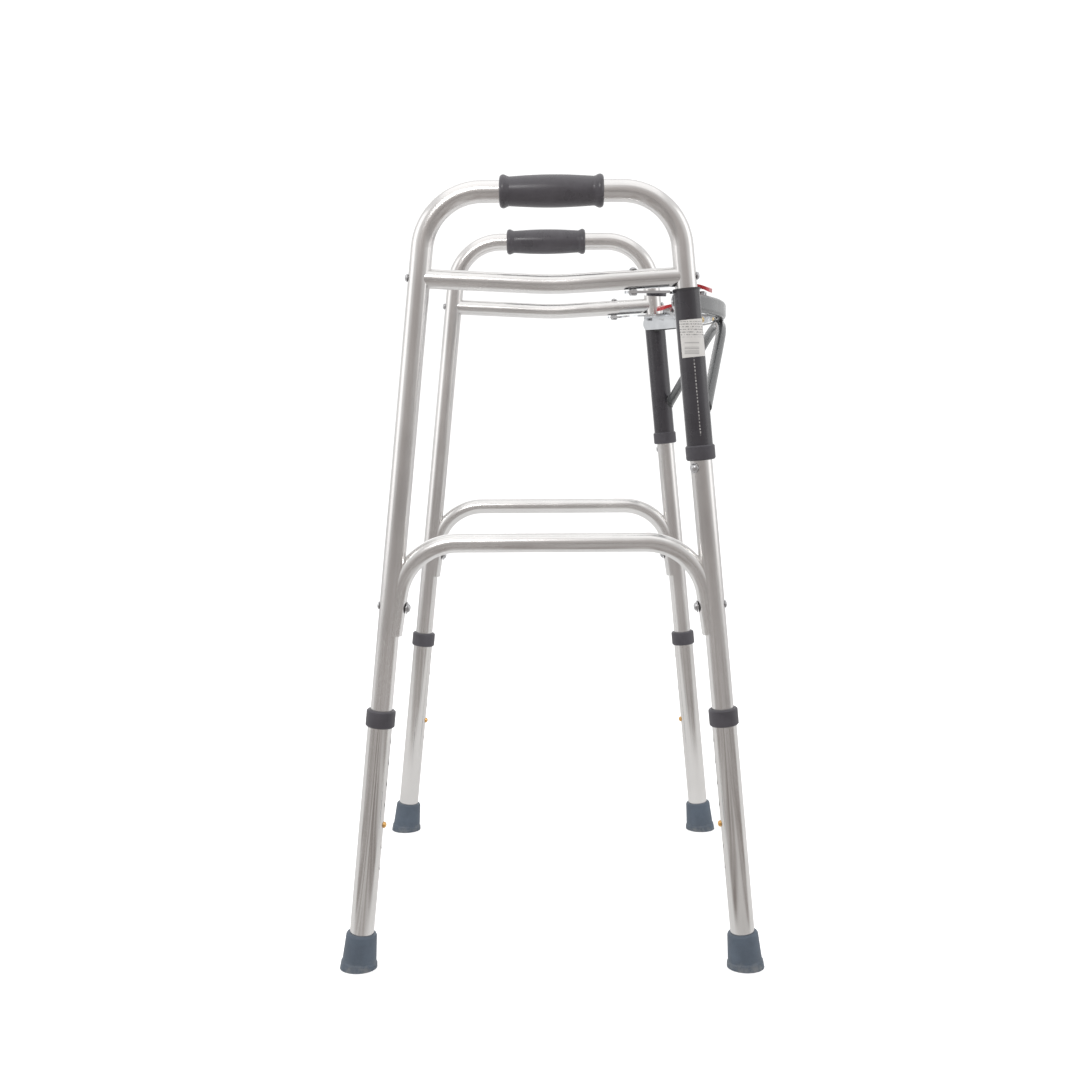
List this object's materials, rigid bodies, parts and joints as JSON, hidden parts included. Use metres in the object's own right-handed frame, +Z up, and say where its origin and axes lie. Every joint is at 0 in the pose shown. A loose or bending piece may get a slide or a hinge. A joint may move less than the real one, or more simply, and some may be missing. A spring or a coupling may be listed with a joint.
{
  "type": "walking frame",
  "caption": "Folding aluminium walking frame with hinged side frames, a bowed front brace with paddle latches and height-adjustable rubber-tipped legs.",
  "frame": {"origin": "floor level, midway between the four feet", "axes": "+Z up; X runs across the frame, with the user's left side at +X; -Y is the front, where the cross brace is, and +Y the open side where the user stands"},
  "size_m": [0.5878, 0.5018, 0.9187],
  "materials": {
    "frame_aluminium": "satin anodised",
    "brace_aluminium": "satin anodised",
    "extension_aluminium": "satin anodised",
    "sleeve_paint": "satin dark grey paint",
    "crossbar_paint": "satin grey paint",
    "chrome": "bright plated",
    "zinc_steel": "zinc plated",
    "rivet_zinc": "yellow passivated zinc",
    "button_brass": "bright",
    "spring_steel": "oiled spring steel",
    "grip_plastic": "soft dark grey vinyl",
    "collar_plastic": "moulded dark grey",
    "plug_plastic": "moulded",
    "tip_rubber": "blue-grey rubber",
    "paddle_plastic": "red moulded",
    "label_paper": "printed white film"
  },
  "bodies": {
    "cross_brace": {"crossbar": "crossbar_paint", "crossbar_strap": "chrome", "crossbar_rivets": "rivet_zinc", "arch_brace": "crossbar_paint", "right_sleeve": "sleeve_paint", "left_sleeve": "sleeve_paint", "right_sleeve_collar": "collar_plastic", "left_sleeve_collar": "collar_plastic", "sleeve_bushings": "collar_plastic", "latch_brackets": "chrome", "latch_pivot_pins": "zinc_steel", "sleeve_label": "label_paper", "right_latch_spring": "spring_steel", "left_latch_spring": "spring_steel"},
    "right_side_frame": {"right_frame_tube": "frame_aluminium", "right_hand_grip": "grip_plastic", "right_upper_brace": "brace_aluminium", "right_lower_brace": "brace_aluminium", "right_upper_brace_plugs": "plug_plastic", "right_upper_brace_bolts": "zinc_steel", "right_lower_brace_bolts": "zinc_steel", "right_latch_pin": "zinc_steel", "right_sleeve_stop_bolt": "zinc_steel", "right_front_button_spring": "spring_steel", "right_rear_button_spring": "spring_steel"},
    "right_front_leg": {"right_front_extension": "extension_aluminium", "right_front_collar": "collar_plastic", "right_front_tip": "tip_rubber", "right_front_tip_washer": "zinc_steel"},
    "right_front_button": {"right_front_snap_button": "button_brass"},
    "right_rear_leg": {"right_rear_extension": "extension_aluminium", "right_rear_collar": "collar_plastic", "right_rear_tip": "tip_rubber", "right_rear_tip_washer": "zinc_steel"},
    "right_rear_button": {"right_rear_snap_button": "button_brass"},
    "right_latch": {"right_latch_plate": "chrome", "right_paddle": "paddle_plastic"},
    "left_side_frame": {"left_frame_tube": "frame_aluminium", "left_hand_grip": "grip_plastic", "left_upper_brace": "brace_aluminium", "left_lower_brace": "brace_aluminium", "left_upper_brace_plugs": "plug_plastic", "left_upper_brace_bolts": "zinc_steel", "left_lower_brace_bolts": "zinc_steel", "left_latch_pin": "zinc_steel", "left_sleeve_stop_bolt": "zinc_steel", "left_front_button_spring": "spring_steel", "left_rear_button_spring": "spring_steel"},
    "left_front_leg": {"left_front_extension": "extension_aluminium", "left_front_collar": "collar_plastic", "left_front_tip": "tip_rubber", "left_front_tip_washer": "zinc_steel"},
    "left_front_button": {"left_front_snap_button": "button_brass"},
    "left_rear_leg": {"left_rear_extension": "extension_aluminium", "left_rear_collar": "collar_plastic", "left_rear_tip": "tip_rubber", "left_rear_tip_washer": "zinc_steel"},
    "left_rear_button": {"left_rear_snap_button": "button_brass"},
    "left_latch": {"left_latch_plate": "chrome", "left_paddle": "paddle_plastic"}
  },
  "joints": [
    {"name": "right_fold", "type": "hinge", "parent": "cross_brace", "child": "right_side_frame", "pos_m": [-0.272, -0.2287, 0], "axis": [0, -0.0917, -0.9958], "range_deg": [0, 85]},
    {"name": "right_front_leg_length", "type": "slide", "parent": "right_side_frame", "child": "right_front_leg", "axis": [0, -0.0917, -0.9958], "range_m": [-0.0508, 0.1016]},
    {"name": "right_front_button_press", "type": "slide", "parent": "right_side_frame", "child": "right_front_button", "axis": [0, -0.9958, 0.0917], "range_m": [0, 0.0052], "stiffness_N_per_m": 1000, "springref_m": -0.004, "deforming": ["right_front_button_spring"]},
    {"name": "right_rear_leg_length", "type": "slide", "parent": "right_side_frame", "child": "right_rear_leg", "axis": [0, 0.1037, -0.9946], "range_m": [-0.0508, 0.1016]},
    {"name": "right_rear_button_press", "type": "slide", "parent": "right_side_frame", "child": "right_rear_button", "axis": [0, 0.9946, 0.1037], "range_m": [0, 0.0052], "stiffness_N_per_m": 1000, "springref_m": -0.004, "deforming": ["right_rear_button_spring"]},
    {"name": "right_latch_press", "type": "hinge", "parent": "cross_brace", "child": "right_latch", "pos_m": [-0.16606, -0.18285, 0.791], "axis": [-0.3223, -0.9466, 0], "range_deg": [0, 3.5], "stiffness_Nm_per_rad": 2, "springref_deg": -17.19, "deforming": ["right_latch_spring"]},
    {"name": "left_fold", "type": "hinge", "parent": "cross_brace", "child": "left_side_frame", "pos_m": [0.272, -0.2287, 0], "axis": [0, 0.0917, 0.9958], "range_deg": [0, 72]},
    {"name": "left_front_leg_length", "type": "slide", "parent": "left_side_frame", "child": "left_front_leg", "axis": [0, -0.0917, -0.9958], "range_m": [-0.0508, 0.1016]},
    {"name": "left_front_button_press", "type": "slide", "parent": "left_side_frame", "child": "left_front_button", "axis": [0, -0.9958, 0.0917], "range_m": [0, 0.0052], "stiffness_N_per_m": 1000, "springref_m": -0.004, "deforming": ["left_front_button_spring"]},
    {"name": "left_rear_leg_length", "type": "slide", "parent": "left_side_frame", "child": "left_rear_leg", "axis": [0, 0.1037, -0.9946], "range_m": [-0.0508, 0.1016]},
    {"name": "left_rear_button_press", "type": "slide", "parent": "left_side_frame", "child": "left_rear_button", "axis": [0, 0.9946, 0.1037], "range_m": [0, 0.0052], "stiffness_N_per_m": 1000, "springref_m": -0.004, "deforming": ["left_rear_button_spring"]},
    {"name": "left_latch_press", "type": "hinge", "parent": "cross_brace", "child": "left_latch", "pos_m": [0.16606, -0.18285, 0.791], "axis": [-0.3223, 0.9466, 0], "range_deg": [0, 3.5], "stiffness_Nm_per_rad": 2, "springref_deg": -17.19, "deforming": ["left_latch_spring"]}
  ]
}
